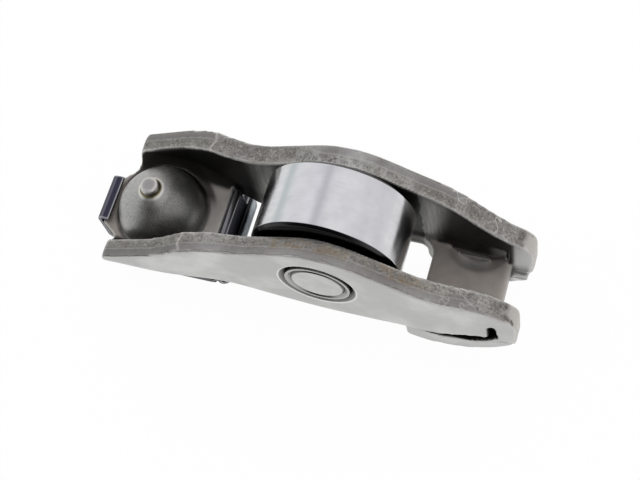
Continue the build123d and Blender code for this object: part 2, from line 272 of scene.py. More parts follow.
# The regions that the pressed body's finish reads, one number a vertex each
BODY_MARKS = ("across", "sheared", "flank", "floor", "dome", "pip", "nose", "tint", "rub", "ragged",
              "shaved", "teeth", "soot", "crest", "crease", "ring", "scratched")


def from_axle(tree: bpy.types.NodeTree, place: bpy.types.NodeSocket,
              reach_mm: float) -> bpy.types.NodeSocket:
    """The distance from the roller's axle, as a share of a reach.

    Args:
        tree: the node tree.
        place: the object coordinates.
        reach_mm: the distance that counts as 1, in millimetres.

    Returns:
        The output that holds the share.
    """
    offset = add_node(tree, "ShaderNodeVectorMath", {"operation": "SUBTRACT", 1: Vector(AXLE) * MM},
                      {0: place})
    across = 1 / (reach_mm * MM)
    flat = add_node(tree, "ShaderNodeVectorMath", {"operation": "MULTIPLY", 1: (across, 0, across)},
                    {0: offset.outputs[0]})
    length = add_node(tree, "ShaderNodeVectorMath", {"operation": "LENGTH"}, {0: flat.outputs[0]})
    return length.outputs["Value"]


@dataclass(frozen=True)
class PressedSteel:
    """Case-hardened sheet steel, pressed and tumbled.

    The pressed faces are satin grey with faint smears. The sheared edges are darker, with a smooth
    band outside and a torn, speckled band inside. The inner walls, the inner corners, the slits and the
    hollows round the dome carry painted shade, the far inner wall a painted light patch, and the
    floor keeps the dull oxide of the furnace.
    """

    face: str = "#BABAB9"
    smear: str = "#D4D4D2"
    floor: str = "#A09992"
    dome: str = "#A4A3A0"
    # painted shade on the inner walls
    flank: str = "#2B2927"
    # painted light patch on the far inner wall
    shaved: str = "#A9A8A5"
    nose: str = "#BAB6B1"
    patch: str = "#67625D"
    scratch: str = "#B9B5AE"
    # furnace scale, also used as painted shade in the inner corners
    scale_and_shade: str = "#35312C"
    # the colour of the painted shade in the slits and hollows
    soot: str = "#1E1B18"
    tint: str = "#776243"
    # also the painted highlight of the crease lines
    bright: str = "#D3D1CC"
    roughness: tuple[float, float] = (0.36, 0.48)
    scale_roughness: float = 0.62
    scale_metal: float = 0.55
    ring_reach: float = 6.0

    def material(self) -> bpy.types.Material:
        """Builds the material, which reads the body's marks."""
        made, tree, shader = new_material("tumbled_pressed_steel")
        place = add_node(tree, "ShaderNodeTexCoord").outputs["Object"]
        mark = {name: add_node(tree, "ShaderNodeAttribute", {"attribute_name": name}).outputs["Fac"]
                for name in BODY_MARKS}
        noise = self.unevenness(tree, place)
        wavy, torn = self.edge_bands(tree, mark, noise)
        spots = self.spots(tree, mark, noise, torn)
        shade = self.colour(tree, place, mark, spots, wavy)
        uneven = add_node(tree, "ShaderNodeMapRange", {1: 0.3, 2: 0.7, 3: 0.91, 4: 1.05},
                          {0: noise["mottle"]}).outputs[0]
        speckle = add_node(tree, "ShaderNodeMapRange", {1: 0.3, 2: 0.7, 3: 0.95, 4: 1.04},
                           {0: noise["dust"]}).outputs[0]
        for factor in (uneven, speckle):
            shade = add_node(tree, "ShaderNodeMix", {"data_type": "RGBA", "blend_type": "MULTIPLY", 0: 1.0},
                             {6: shade, 7: factor}).outputs[2]
        tree.links.new(shade, shader.inputs["Base Color"])
        self.gloss(tree, shader, mark, noise)
        self.relief(tree, shader, noise, torn)
        return made

    def unevenness(self, tree: bpy.types.NodeTree, place: bpy.types.NodeSocket) -> dict:
        """Noise at the real sizes of the face's clouds, mottle, grit and dust, and streaks two ways."""
        noise = {}
        for name, size, detail, stretch in (
                ("cloud", 6.0, 3.0, (1, 1, 1)), ("mottle", 1.3, 5.0, (1, 1, 1)), ("grit", 0.28, 4.0, (1, 1, 1)),
                ("dust", 0.15, 2.0, (1, 1, 1)), ("brushed", 0.22, 3.0, (1, 1, 0.06)),
                ("streaked", 0.60, 4.0, (1, 0.35, 0.6))):
            thin = add_node(tree, "ShaderNodeMapping", {"Scale": stretch}, {"Vector": place}).outputs[0]
            noise[name] = add_node(tree, "ShaderNodeTexNoise", {"Scale": 1 / (size * MM), "Detail": detail},
                                   {"Vector": thin}).outputs["Fac"]
        return noise

    def edge_bands(self, tree: bpy.types.NodeTree, mark: dict, noise: dict) -> tuple:
        """The place across a sheared edge with an uneven line, and the part of it that is torn."""
        wander = add_node(tree, "ShaderNodeMath", {"operation": "MULTIPLY_ADD", 1: 0.16},
                          {0: noise["mottle"], 2: mark["across"]})
        wavy = add_node(tree, "ShaderNodeMath", {"operation": "MULTIPLY_ADD", 1: 0.10},
                        {0: noise["grit"], 2: wander.outputs[0]}).outputs[0]
        band = add_node(tree, "ShaderNodeMapRange", {1: 0.58, 2: 0.66, 3: 0.22, 4: 1.0}, {0: wavy})
        torn = add_node(tree, "ShaderNodeMath", {"operation": "MULTIPLY"},
                        {0: band.outputs[0], 1: mark["sheared"]}).outputs[0]
        return wavy, torn

    def spots(self, tree: bpy.types.NodeTree, mark: dict, noise: dict, torn: bpy.types.NodeSocket) -> dict:
        """Masks of the small marks: each is a noise between two levels, inside one region."""
        made = {}
        for name, source, start, end, most, area in (
                ("smears", "cloud", 0.50, 0.66, 0.55, None), ("rubs", "cloud", 0.36, 0.60, 0.60, mark["rub"]),
                ("pits", "grit", 0.46, 0.35, 0.42, torn), ("glints", "grit", 0.55, 0.68, 0.32, torn),
                ("patches", "mottle", 0.56, 0.40, 0.42, torn),
                ("scorch", "mottle", 0.42, 0.62, 0.55, mark["tint"]),
                ("chips", "mottle", 0.43, 0.36, 0.75, mark["nose"]),
                ("grain", "dust", 0.50, 0.64, 0.42, mark["dome"]),
                ("holes", "grit", 0.40, 0.31, 0.38, mark["dome"]),
                ("teeth", "brushed", 0.46, 0.40, 0.6, mark["teeth"]),
                ("worn", None, 0.40, 0.90, 0.8, mark["crest"]),
                # painted shade in the inner corners
                ("corner_shade", None, -0.15, -0.75, 0.6, mark["crest"])):
            if source is None:
                made[name] = add_node(tree, "ShaderNodeMapRange", {1: start, 2: end, 3: 0.0, 4: most},
                                      {0: area}).outputs[0]
                continue
            level = add_node(tree, "ShaderNodeMapRange", {1: start, 2: end, 3: 0.0, 4: most},
                             {0: noise[source]}).outputs[0]
            made[name] = level if area is None else add_node(
                tree, "ShaderNodeMath", {"operation": "MULTIPLY"}, {0: level, 1: area}).outputs[0]
        # the ragged border and streaks of the painted light patch
        ragged = add_node(tree, "ShaderNodeMath", {"operation": "MULTIPLY_ADD", 1: 0.45},
                          {0: noise["mottle"], 2: mark["ragged"]})
        torn_line = add_node(tree, "ShaderNodeMath", {"operation": "MULTIPLY_ADD", 1: 0.25},
                             {0: noise["grit"], 2: ragged.outputs[0]})
        cut = add_node(tree, "ShaderNodeMapRange", {1: 0.66, 2: 0.74}, {0: torn_line.outputs[0]})
        brushed = add_node(tree, "ShaderNodeMapRange", {1: 0.3, 2: 0.7, 3: 0.55, 4: 1.0}, {0: noise["brushed"]})
        soft = add_node(tree, "ShaderNodeMath", {"operation": "MULTIPLY"},
                        {0: brushed.outputs[0], 1: mark["shaved"]})
        line = add_node(tree, "ShaderNodeMath", {"operation": "COMPARE", 1: 0.50, 2: 0.004},
                        {0: noise["cloud"]})
        made["scratches"] = add_node(tree, "ShaderNodeMath", {"operation": "MULTIPLY"},
                                     {0: line.outputs[0], 1: mark["scratched"]}).outputs[0]
        smooth_nose = add_node(tree, "ShaderNodeMath", {"operation": "MULTIPLY_ADD", 1: 1.2},
                               {0: noise["mottle"], 2: mark["nose"]})
        made["nose"] = add_node(tree, "ShaderNodeMapRange", {1: 0.86, 2: 1.40},
                                {0: smooth_nose.outputs[0]}).outputs[0]
        made["shaved"] = add_node(tree, "ShaderNodeMath", {"operation": "MULTIPLY"},
                                  {0: cut.outputs[0], 1: soft.outputs[0]}).outputs[0]
        return made

    def colour(self, tree: bpy.types.NodeTree, place: bpy.types.NodeSocket, mark: dict, spots: dict,
               wavy: bpy.types.NodeSocket) -> bpy.types.NodeSocket:
        """Lays the colours over each other, from the plain face to the worn rims."""
        sheet_edge = add_node(tree, "ShaderNodeValToRGB", {"stops": (
            (0.185, "#B4B4B2"), (0.215, "#4F4943"), (0.25, "#85827F"), (0.54, "#7D7A78"), (0.585, "#9A9894"),
            (0.63, "#84817B"), (1.0, "#918E88"))}, {"Fac": wavy}).outputs[0]
        # painted shade inside the countersink round the pin, darkest at the pin, and a painted highlight line at
        # its rim
        radius = from_axle(tree, place, self.ring_reach)
        sink = add_node(tree, "ShaderNodeValToRGB", {"stops": (
            (0.65, "#161616"), (0.675, "#3A3A39"), (0.74, "#6A6966"), (0.79, "#8F8E8B"), (0.802, "#E6E6E4"),
            (0.83, "#E6E6E4"))}, {"Fac": radius}).outputs[0]
        within = add_node(tree, "ShaderNodeMapRange", {1: 0.834, 2: 0.822}, {0: radius})
        sunk = add_node(tree, "ShaderNodeMath", {"operation": "MULTIPLY"},
                        {0: within.outputs[0], 1: mark["ring"]}).outputs[0]
        flat = add_node(tree, "ShaderNodeVectorMath", {"operation": "MULTIPLY", 1: (0.5 / MM, 0.5 / MM, 0)},
                        {0: place})
        from_pip = add_node(tree, "ShaderNodeVectorMath", {"operation": "LENGTH"}, {0: flat.outputs[0]})
        # painted shade in the gap round the pip, and painted highlights beside it and on its outer ring
        collar = add_node(tree, "ShaderNodeValToRGB", {"stops": (
            (0.0, "#9E9D9B"), (0.50, "#A09F9D"), (0.55, "#CCCAC4"), (0.60, "#57513F"), (0.68, "#A39A7E"),
            (0.735, "#E2E0DA"), (0.80, "#CCCAC5"), (0.90, "#A4A3A0"))},
            {"Fac": from_pip.outputs["Value"]}).outputs[0]
        shade = add_node(tree, "ShaderNodeMix", {"data_type": "RGBA", 6: linear(self.face),
                                                 7: linear(self.smear)}, {0: spots["smears"]}).outputs[2]
        # Painted shade: the gap round the pip, the inner flanks, the inner corners, the slits and hollows, and the
        # countersink. Painted light: the pip's outer ring, the patch on the far inner wall, the crease lines and
        # the countersink's rim.
        for factor, over in (
                (mark["floor"], self.floor), (mark["dome"], self.dome),
                (spots["grain"], self.bright), (spots["holes"], self.scale_and_shade), (mark["pip"], collar),
                (mark["flank"], self.flank), (spots["shaved"], self.shaved), (mark["sheared"], sheet_edge),
                (spots["rubs"], self.smear), (spots["patches"], self.patch),
                (spots["pits"], self.scale_and_shade), (spots["glints"], self.bright), (spots["scratches"], self.scratch),
                (spots["teeth"], self.scale_and_shade),
                (spots["scorch"], self.tint), (spots["nose"], self.nose), (spots["chips"], self.scale_and_shade),
                (mark["crease"], self.bright), (spots["worn"], self.bright), (spots["corner_shade"], self.scale_and_shade),
                (mark["soot"], self.soot), (sunk, sink)):
            settings, links = {"data_type": "RGBA"}, {0: factor, 6: shade}
            if isinstance(over, str):
                settings[7] = linear(over)
            else:
                links[7] = over
            shade = add_node(tree, "ShaderNodeMix", settings, links).outputs[2]
        return shade

    def gloss(self, tree: bpy.types.NodeTree, shader: bpy.types.Node, mark: dict, noise: dict) -> None:
        """Satin on the tumbled faces, and the dull oxide of the furnace, which stays on the floor."""
        low, high = self.roughness
        satin = add_node(tree, "ShaderNodeMapRange", {1: 0.3, 2: 0.7, 3: low, 4: high}, {0: noise["mottle"]})
        rough = add_node(tree, "ShaderNodeMix", {"data_type": "FLOAT", 3: self.scale_roughness},
                         {0: mark["floor"], 2: satin.outputs[0]})
        tree.links.new(rough.outputs[0], shader.inputs["Roughness"])
        dull = add_node(tree, "ShaderNodeMath", {"operation": "MAXIMUM"}, {0: mark["floor"], 1: mark["crest"]})
        metal = add_node(tree, "ShaderNodeMapRange", {3: 1.0, 4: self.scale_metal}, {0: dull.outputs[0]})
        tree.links.new(metal.outputs[0], shader.inputs["Metallic"])

    def relief(self, tree: bpy.types.NodeTree, shader: bpy.types.Node, noise: dict,
               torn: bpy.types.NodeSocket) -> None:
        """Fine relief, deepest where the edge was torn."""
        deep = add_node(tree, "ShaderNodeMapRange", {1: 0.0, 2: 1.0, 3: 0.12, 4: 0.8}, {0: torn})
        height = add_node(tree, "ShaderNodeMath", {"operation": "MULTIPLY"},
                          {0: noise["grit"], 1: deep.outputs[0]})
        fine = add_node(tree, "ShaderNodeMath", {"operation": "MULTIPLY_ADD", 1: 0.14},
                        {0: noise["dust"], 2: height.outputs[0]})
        bump = add_node(tree, "ShaderNodeBump", {"Strength": 0.6, "Distance": 0.10 * MM},
                        {"Height": fine.outputs[0]})
        tree.links.new(bump.outputs[0], shader.inputs["Normal"])


class Banding(Enum):
    """How the painted shade on a turned piece changes."""

    ALONG = "with the distance from the middle of its length"
    AROUND = "with the distance from its axle"


@dataclass(frozen=True)
class GroundSteel:
    """Bearing steel, hardened and ground: bright, with soft reflections and very fine grinding lines."""

    name: str
    colour: str
    dull: str
    roughness: tuple[float, float]
    line_mm: float = 0.12
    banding: Banding = Banding.ALONG
    bands_mm: tuple[tuple[float, str], ...] = ((0.0, "#FFFFFF"), (6.0, "#FFFFFF"))
    reach_mm: float = 6.0

    def material(self) -> bpy.types.Material:
        """Builds the material. The lines run round the axle, so they are thin along Y."""
        made, tree, shader = new_material(self.name)
        place = add_node(tree, "ShaderNodeTexCoord").outputs["Object"]
        thin = add_node(tree, "ShaderNodeMapping", {"Scale": (0.05, 1.0, 0.05)}, {"Vector": place})
        lines = add_node(tree, "ShaderNodeTexNoise", {"Scale": 1 / (self.line_mm * MM), "Detail": 3.0},
                         {"Vector": thin.outputs[0]})
        haze = add_node(tree, "ShaderNodeTexNoise", {"Scale": 1 / (1.6 * MM), "Detail": 4.0}, {"Vector": place})
        both = add_node(tree, "ShaderNodeMath", {"operation": "MULTIPLY_ADD", 1: 0.5},
                        {0: lines.outputs["Fac"], 2: haze.outputs["Fac"]})
        blend = add_node(tree, "ShaderNodeMapRange", {1: 0.55, 2: 0.95}, {0: both.outputs[0]})
        shade = add_node(tree, "ShaderNodeMix", {"data_type": "RGBA", 6: linear(self.colour),
                                                 7: linear(self.dull)}, {0: blend.outputs[0]})
        if self.banding is Banding.AROUND:
            measure = from_axle(tree, place, self.reach_mm)
        else:
            along = add_node(tree, "ShaderNodeSeparateXYZ", links={0: place}).outputs[1]
            share = add_node(tree, "ShaderNodeMath", {"operation": "DIVIDE", 1: self.reach_mm * MM}, {0: along})
            measure = add_node(tree, "ShaderNodeMath", {"operation": "ABSOLUTE"}, {0: share.outputs[0]}).outputs[0]
        # the bands multiply a painted shade into the colour
        stops = tuple((place_mm / self.reach_mm, code) for place_mm, code in self.bands_mm)
        bands = add_node(tree, "ShaderNodeValToRGB", {"stops": stops}, {"Fac": measure})
        toned = add_node(tree, "ShaderNodeMix", {"data_type": "RGBA", "blend_type": "MULTIPLY", 0: 1.0},
                         {6: shade.outputs[2], 7: bands.outputs[0]})
        tree.links.new(toned.outputs[2], shader.inputs["Base Color"])
        low, high = self.roughness
        rough = add_node(tree, "ShaderNodeMapRange", {1: 0.55, 2: 0.95, 3: low, 4: high},
                         {0: both.outputs[0]})
        tree.links.new(rough.outputs[0], shader.inputs["Roughness"])
        bump = add_node(tree, "ShaderNodeBump", {"Strength": 0.15, "Distance": 0.01 * MM},
                        {"Height": lines.outputs["Fac"]})
        tree.links.new(bump.outputs[0], shader.inputs["Normal"])
        return made


@dataclass(frozen=True)
class BluedSpringSteel:
    """Spring strip, hardened and left blue-black: temper colours from violet to blue-black, pale cut edges, and a
    painted reflection in pale blue-grey on the flange at the strip's end.
    """

    edge: str = "#A9A9AC"
    oxide: str = "#B8B8BA"

    def material(self) -> bpy.types.Material:
        """Builds the material, whose temper colour changes along the strip and gives way to the painted reflection
        on the flange.
        """
        made, tree, shader = new_material("blued_spring_steel")
        shader.inputs["Specular Tint"].default_value = linear(self.oxide)
        place = add_node(tree, "ShaderNodeTexCoord").outputs["Object"]
        crest = add_node(tree, "ShaderNodeAttribute", {"attribute_name": "crest"}).outputs["Fac"]
        along = add_node(tree, "ShaderNodeSeparateXYZ", links={0: place}).outputs[0]
        film = add_node(tree, "ShaderNodeTexNoise", {"Scale": 1 / (2.0 * MM), "Detail": 3.0}, {"Vector": place})
        drift = add_node(tree, "ShaderNodeMath", {"operation": "MULTIPLY_ADD", 1: 0.2 * MM},
                         {0: film.outputs["Fac"], 2: along})
        step = add_node(tree, "ShaderNodeMapRange", {1: -8 * MM, 2: 11 * MM}, {0: drift.outputs[0]})
        # past about x = 9.5 mm the strip is painted pale blue-grey as a painted reflection, with a lower metal
        # share
        temper = add_node(tree, "ShaderNodeValToRGB", {"stops": (
            (0.0, "#3F3D4D"), (0.12, "#383744"), (0.4, "#303034"), (0.80, "#302F34"), (0.92, "#2E2E31"),
            (0.935, "#D3DEE3"), (1.0, "#E2EBEE"))}, {"Fac": step.outputs[0]})
        worn = add_node(tree, "ShaderNodeMapRange", {1: 0.05, 2: 0.40, 3: 0.0, 4: 0.85}, {0: crest})
        shade = add_node(tree, "ShaderNodeMix", {"data_type": "RGBA", 7: linear(self.edge)},
                         {0: worn.outputs[0], 6: temper.outputs[0]})
        tree.links.new(shade.outputs[2], shader.inputs["Base Color"])
        painted_reflection_metallic = add_node(tree, "ShaderNodeMapRange", {1: 0.92, 2: 0.935, 3: 1.0, 4: 0.1}, {0: step.outputs[0]})
        tree.links.new(painted_reflection_metallic.outputs[0], shader.inputs["Metallic"])
        rough = add_node(tree, "ShaderNodeMapRange", {1: 0.3, 2: 0.7, 3: 0.22, 4: 0.34},
                         {0: film.outputs["Fac"]})
        tree.links.new(rough.outputs[0], shader.inputs["Roughness"])
        return made


@dataclass
class PressedBody:
    """The one-piece pressed channel, with torn edges, a painted highlight along the crease at each shoulder and
    rounded rims.
    """

    voxel: float = 0.225 * MM
    smoothing_rounds: int = 2
    settling_rounds: int = 2
    sheet: float = 2.7
    half_widths: tuple[float, float, float] = (9.05, 7.5, 6.2)
    socket_jog: tuple[float, float] = (2.0, 12.5)
    pad_jog: tuple[float, float] = (35.5, 45.0)
    dome_radius: float = 6.1
    dome_foot: float = 0.9
    shoulder: float = 6.7
    nose_start: float = 46.0
    tint_reach: tuple[float, float] = (15.0, 37.0)
    ridge_height: float = 0.07
    roll_over: float = 0.06
    tear_depth: float = 0.03
    slit_reach: tuple[float, float] = (34.7, 45.1)
    slit_inner: float = 4.0
    pad_floor: float = -1.5
    window_start: float = 7.95

    def build(self) -> bpy.types.Object:
        """Builds the body, shapes its sheared edges and marks its regions."""
        piece = softened_copy("body", "pressed_channel", self.voxel, self.smoothing_rounds)
        self.shape_edges(piece)
        self.mark_regions(piece)
        put_material(piece, PressedSteel().material())
        finish_piece(piece, Rider.ARM, Slot.PRESSED_BODY, "body")
        return piece

    def depth(self, place: np.ndarray) -> np.ndarray:
        """How far inside the channel's outer wall face each point lies, in millimetres."""
        at_socket, at_roller, at_pad = self.half_widths
        half = (at_socket - (at_socket - at_roller) * smoothstep(*self.socket_jog, place[:, 0])
                - (at_roller - at_pad) * smoothstep(*self.pad_jog, place[:, 0]))
        return half - abs(place[:, 1])

    def sheared(self, place: np.ndarray, normal: np.ndarray) -> np.ndarray:
        """1 on the walls' top and end edges, 0 elsewhere."""
        x, _, z = place.T
        reach = np.maximum(smoothstep(0.6, 1.2, z), smoothstep(45.3, 45.8, x))
        reach = np.maximum(reach, smoothstep(-4.0, -4.4, x))
        return (smoothstep(2.78, 2.62, self.depth(place)) * smoothstep(0.80, 0.55, abs(normal[:, 1]))
                * smoothstep(-0.45, -0.2, normal[:, 2]) * reach)

    def shape_edges(self, piece: bpy.types.Object) -> None:
        """Gives the sheared edges their roll-over, ridge and uneven tear, as real relief."""
        mesh = piece.data
        place = read_vectors(mesh, "co") / MM
        normal = read_vectors(mesh, "normal")
        mask = self.sheared(place, normal)
        across = self.depth(place) / self.sheet
        ridge = smoothstep(0.0, 0.5, across) * smoothstep(1.0, 0.5, across)
        rise = self.ridge_height * ridge * smoothstep(self.shoulder + 0.3, self.shoulder - 0.6, place[:, 0])
        rise -= self.roll_over * smoothstep(0.14, 0.0, across)
        chance = np.random.default_rng(7)
        waves = sum(np.sin(place @ chance.normal(0, 2.2 * 1.7 ** octave, 3) + chance.uniform(0, 6.28))
                    / 1.5 ** octave for octave in range(6))
        rise += self.tear_depth * 0.5 * waves * smoothstep(0.10, 0.25, across) * (
            0.3 + 0.7 * smoothstep(0.45, 0.6, across))
        shift = normal * (rise * mask)[:, None]
        moved = (place + shift) * MM
        mesh.vertices.foreach_set("co", moved.astype(np.float32).ravel())
        settled = bmesh.new()
        settled.from_mesh(mesh)
        smooth(settled, self.settling_rounds)
        settled.to_mesh(mesh)
        settled.free()

    def mark_regions(self, piece: bpy.types.Object) -> None:
        """Writes the regions of the finish as one number a vertex each."""
        mesh = piece.data
        place = read_vectors(mesh, "co") / MM
        normal = read_vectors(mesh, "normal")
        x, y, z = place.T
        near = smoothstep(0, -1, y)
        depth = self.depth(place)
        sheared = self.sheared(place, normal)
        before_nose = smoothstep(45.0, 44.5, x)
        inner = smoothstep(2.25, 2.6, depth) * (1 - sheared) * before_nose
        pocket = smoothstep(self.pad_floor, self.pad_floor - 0.4, z) * smoothstep(1.3, 1.7, depth) * before_nose
        # inner walls, which get a painted shade
        flank = inner * smoothstep(0.45, 0.7, abs(normal[:, 1])) * smoothstep(-4.0, -3.0, z)
        from_ball = np.hypot(x, y)
        dome = smoothstep(self.dome_radius, self.dome_radius - 0.4, from_ball) * smoothstep(
            self.dome_foot - 0.5, self.dome_foot, z)
        flank *= 1 - dome
        # past these places the torn band takes the whole width of the edge
        whole = near * smoothstep(41.2, 43.2, x) + (1 - near) * (
            smoothstep(7.0, 8.4, x) * smoothstep(22.5, 17.5, x) + smoothstep(36.5, 39.5, x))
        right_border = 35.6 + 0.19 * (z - 3)
        past_window = np.clip((x - 32.4) / 2.0, 0, 1)
        low = smoothstep(2.2, 1.6, z) * smoothstep(-1.2, -0.8, z)
        # painted shade along the dome's foot
        dome_foot = smoothstep(0.32, 0.10, abs(from_ball - self.dome_radius + 0.1)) * low
        # painted shadow on the floor behind the dome
        behind_dome = smoothstep(4.9, 5.5, from_ball) * smoothstep(7.2, 6.7, from_ball)
        behind_dome *= smoothstep(1.5, 3.5, y) * (1 - sheared) * smoothstep(-1.2, -0.8, z)
        way = np.degrees(np.arctan2(y, x))
        # painted shade on the dome's right side
        dim_side = dome * smoothstep(-115, -80, way) * smoothstep(95, 60, way) * smoothstep(1.8, 2.6, from_ball)
        to_axle = np.hypot(x - AXLE[0], z - AXLE[2])
        write_marks(piece, {
            "across": np.clip(depth / self.sheet, 0, 1) + whole * np.clip(0.62 - depth / self.sheet, 0, 1)
            * smoothstep(0.04, 0.16, depth / self.sheet),
            "sheared": sheared,
            "flank": flank,
            "floor": np.maximum(inner, pocket) * smoothstep(-0.3, 0.3, normal[:, 2]) * (1 - dome),
            "dome": dome,
            "pip": smoothstep(6.2, 6.6, z) * smoothstep(2.1, 1.8, from_ball),
            "nose": sheared * smoothstep(self.nose_start - 1.3, self.nose_start + 1.0, x),
            "tint": sheared * near * smoothstep(self.tint_reach[0], self.tint_reach[0] + 4, x)
            * smoothstep(self.tint_reach[1] + 3, self.tint_reach[1] - 3, x)
            * smoothstep(0.8, 1.2, depth) * smoothstep(2.6, 2.3, depth),
            "rub": near * (1 - sheared) * np.clip(
                smoothstep(0.5, 3.0, x) * smoothstep(15, 11, x) * smoothstep(2.8, 3.8, z)
                + 0.6 * smoothstep(22, 40, x), 0, 1) * smoothstep(0.4, 0.2, depth)
            + 0.3 * inner * (1 - flank) * (1 - dome) * smoothstep(3, 5, x) * smoothstep(9, 8, x)
            + sheared * smoothstep(6.4, 6.9, x) * (
                0.35 + 0.4 * (1 - near) * smoothstep(15, 21, x) * smoothstep(32, 26, x)),
            "ragged": np.maximum(past_window, smoothstep(20, 19, x)),
            # painted light patches on the far inner wall, beside the roller and further left
            "shaved": flank * (1 - near) * np.clip(
                smoothstep(right_border + 1.2, right_border - 1.2, x) * smoothstep(31, 32, x)
                + smoothstep(10.6, 13.2, x) * smoothstep(17, 16, x), 0, 1),
            "teeth": sheared * (1 - near) * smoothstep(1.5, 1.8, depth) * smoothstep(2.5, 2.3, depth)
            * smoothstep(18.3, 18.8, x) * smoothstep(23.8, 23.2, x),
            # painted shade: in the slits, along the dome's foot, behind the dome, on the dome's right side, deep
            # in the pocket and on the far flank under the roller
            "soot": np.maximum.reduce([
                self.soot(place, normal), 0.6 * dome_foot, 0.85 * behind_dome, 0.32 * dim_side,
                0.3 * pocket * smoothstep(-2.8, -3.4, z),
                0.75 * flank * smoothstep(27, 29, x) * (1 - past_window)]),
            "crest": crestness(mesh, self.voxel),
            # painted highlight lines: across the top edges at the shoulder crease, along the window's left edge
            # and in the pocket's upper band
            "crease": np.maximum.reduce([
                0.5 * sheared * smoothstep(0.19, 0.04, abs(
                    x - self.shoulder - 0.16 * np.sin(2.9 * y) + 0.12 * (depth - 1.3))),
                0.7 * inner * (1 - flank) * smoothstep(0.22, 0.06, abs(x - self.window_start))
                * smoothstep(-0.4, 0.1, z) * smoothstep(1.6, 1.2, z),
                0.25 * pocket * smoothstep(-3.2, -2.6, z)]),
            # where the countersink's painted shade and rim highlight go
            "ring": smoothstep(6.2, 6.3, abs(y)) * smoothstep(5.8, 5.6, to_axle),
            "scratched": sheared * (1 - 0.5 * near) * smoothstep(33, 36, x) * smoothstep(44, 43, x),
        })

    def soot(self, place: np.ndarray, normal: np.ndarray) -> np.ndarray:
        """Painted shade: 1 on the sheared faces inside the slits and notches, 0 elsewhere."""
        x, y, z = place.T
        start, end = self.slit_reach
        along = smoothstep(start, start + 0.4, x) * smoothstep(end, end - 0.2, x)
        turned_in = smoothstep(0.88, 0.70, abs(normal[:, 1]))
        outside = smoothstep(self.slit_inner, self.slit_inner + 0.4, abs(y))
        return along * turned_in * outside * smoothstep(1.2, 0.6, z) * smoothstep(-6.6, -5.9, z)


@dataclass
class Roller:
    """The outer roller and its needles: a ground ring with rounded chamfers."""

    radius: float = 9.25
    race: float = 5.60
    half_width: float = 4.3
    chamfer: float = 0.4
    support: float = 0.07
    steps: int = 224

    def build(self) -> None:
        """Builds the ring and gives the needles their finish."""
        rim, cut, end = self.radius, self.chamfer, self.half_width
        tight = self.support
        quarter = [(self.race, end - cut - tight), (self.race, end - cut), (self.race + tight, end - cut + tight),
                   (self.race + cut - tight, end - tight), (self.race + cut, end),
                   (self.race + cut + tight, end), (rim - cut - tight, end), (rim - cut, end - tight / 3),
                   (rim - cut + tight, end - tight), (rim - tight, end - cut + tight),
                   (rim - tight / 3, end - cut), (rim, end - cut - tight), (rim, end - cut - 2 * tight)]
        outline = quarter + [(r, -y) for r, y in reversed(quarter)]
        ring = turned("roller_ring_ground", outline, self.steps)
        # the bands paint shade on the chamfers and end faces, which sit in the narrow gap by the walls
        ground = GroundSteel("ground_bearing_steel", "#D7D7D9", "#CDCDD0", (0.16, 0.24),
                             bands_mm=((end - cut - 0.03, "#FFFFFF"), (end - cut + 0.04, "#3E3E3F"),
                                       (end - cut / 2, "#4C4C4D"), (end, "#333334")))
        put_material(ring, ground.material())
        finish_piece(ring, Rider.ROLLER, Slot.ROLLER, "roller_ring")
        polished = GroundSteel("polished_needle_steel", "#D2D1D0", "#C4C3C2", (0.10, 0.18)).material()
        for name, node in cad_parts.items():
            if name.startswith("needle"):
                put_material(node, polished)


@dataclass
class AxlePin:
    """The pin, whose ends are staked: a flat disc, a pressed groove and a lip spread into the countersink."""

    radius: float = 3.9
    half_length: float = 7.42
    disc_radius: float = 3.12
    disc_slope: float = 0.28
    groove_radius: float = 3.46
    groove_depth: float = 0.34
    lip_inner: float = 3.72
    lip_spread: float = 0.12
    support: float = 0.05
    steps: int = 160

    def build(self) -> None:
        """Builds the pin."""
        end, spread = self.half_length, self.radius + self.lip_spread
        tight, floor = self.support, end - self.groove_depth
        half = [(0, end - 0.03), (self.disc_radius - 3 * tight, end - 0.03),
                (self.disc_radius - tight, end - 0.03), (self.disc_radius, end - 0.03 - tight / 3),
                (self.disc_radius + tight, end - 0.03 - tight),
                (self.disc_radius + self.disc_slope - tight, floor + tight),
                (self.disc_radius + self.disc_slope, floor), (self.groove_radius, floor),
                (self.groove_radius + tight, floor + tight), (self.lip_inner - tight, end - tight),
                (self.lip_inner, end - tight / 4), (self.lip_inner + tight, end), (spread - tight, end),
                (spread - tight / 4, end - tight / 4), (spread, end - tight), (spread, end - 2 * tight),
                (self.radius + tight, end - 0.60), (self.radius, end - 0.72), (self.radius, end - 0.80)]
        outline = half + [(r, -y) for r, y in reversed(half)]
        pin = turned("axle_pin_staked", outline, self.steps)
        # painted shade, multiplied in: darker on the disc's slope, darkest in the groove, a little darker on the
        # lip
        rings = ((self.disc_radius - 0.02, "#FFFFFF"), (self.disc_radius + 0.05, "#8A8A89"),
                 (self.groove_radius - 0.05, "#5C5C5B"), (self.groove_radius + 0.02, "#C8C8C7"),
                 (self.lip_inner, "#E6E6E5"), (self.radius - 0.05, "#D8D8D7"), (self.radius + 0.02, "#FFFFFF"))
        steel = GroundSteel("turned_pin_steel", "#BDBDBC", "#B4B4B2", (0.24, 0.34),
                            banding=Banding.AROUND, bands_mm=rings)
        put_material(pin, steel.material())
        finish_piece(pin, Rider.ARM, Slot.AXLE_PIN, "axle_pin")


